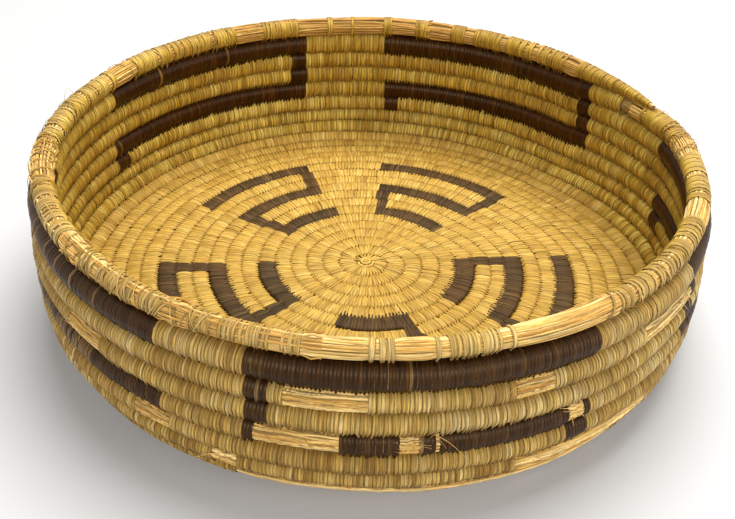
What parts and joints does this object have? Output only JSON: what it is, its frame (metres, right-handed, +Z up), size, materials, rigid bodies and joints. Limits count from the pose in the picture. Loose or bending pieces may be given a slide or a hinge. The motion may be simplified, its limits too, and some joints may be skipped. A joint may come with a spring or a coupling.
{
  "type": "coiled basket",
  "caption": "Wide, shallow, steep-sided bowl wound from one grass coil, with a stepped fret in dark stitching on floor and wall and a thick straw rim.",
  "frame": {"origin": "on the table under the centre of the basket", "axes": "+Z up out of the bowl's mouth; +X to the side where each round climbs to the next, +Y away from the pictured front"},
  "size_m": [0.3731, 0.3732, 0.0976],
  "materials": {
    "floor_straw": "matte golden stitched grass",
    "wall_straw": "matte ochre stitched grass",
    "rim_straw": "matte bare straw bundle",
    "dark_splint": "satin dark brown splint",
    "pale_splint": "satin pale splint"
  },
  "bodies": {
    "root": {"start_knot": "floor_straw", "floor_coil": "floor_straw", "base_coil": "wall_straw", "wall_coil": "wall_straw", "rim_coil": "rim_straw", "floor_fret_1": "dark_splint", "floor_fret_2": "dark_splint", "floor_fret_3": "dark_splint", "floor_fret_4": "dark_splint", "floor_fret_5": "dark_splint", "wall_fret_1": "dark_splint", "wall_fret_2": "dark_splint", "wall_fret_3": "dark_splint", "wall_fret_4": "dark_splint", "wall_fret_5": "dark_splint", "rim_stitching_01": "pale_splint", "rim_stitching_02": "pale_splint", "rim_stitching_03": "pale_splint", "rim_stitching_04": "pale_splint", "rim_stitching_05": "pale_splint", "rim_stitching_06": "pale_splint", "rim_stitching_07": "pale_splint", "rim_stitching_08": "pale_splint", "rim_stitching_09": "pale_splint", "rim_stitching_10": "pale_splint", "rim_stitching_11": "pale_splint", "rim_stitching_12": "pale_splint"}
  },
  "joints": []
}
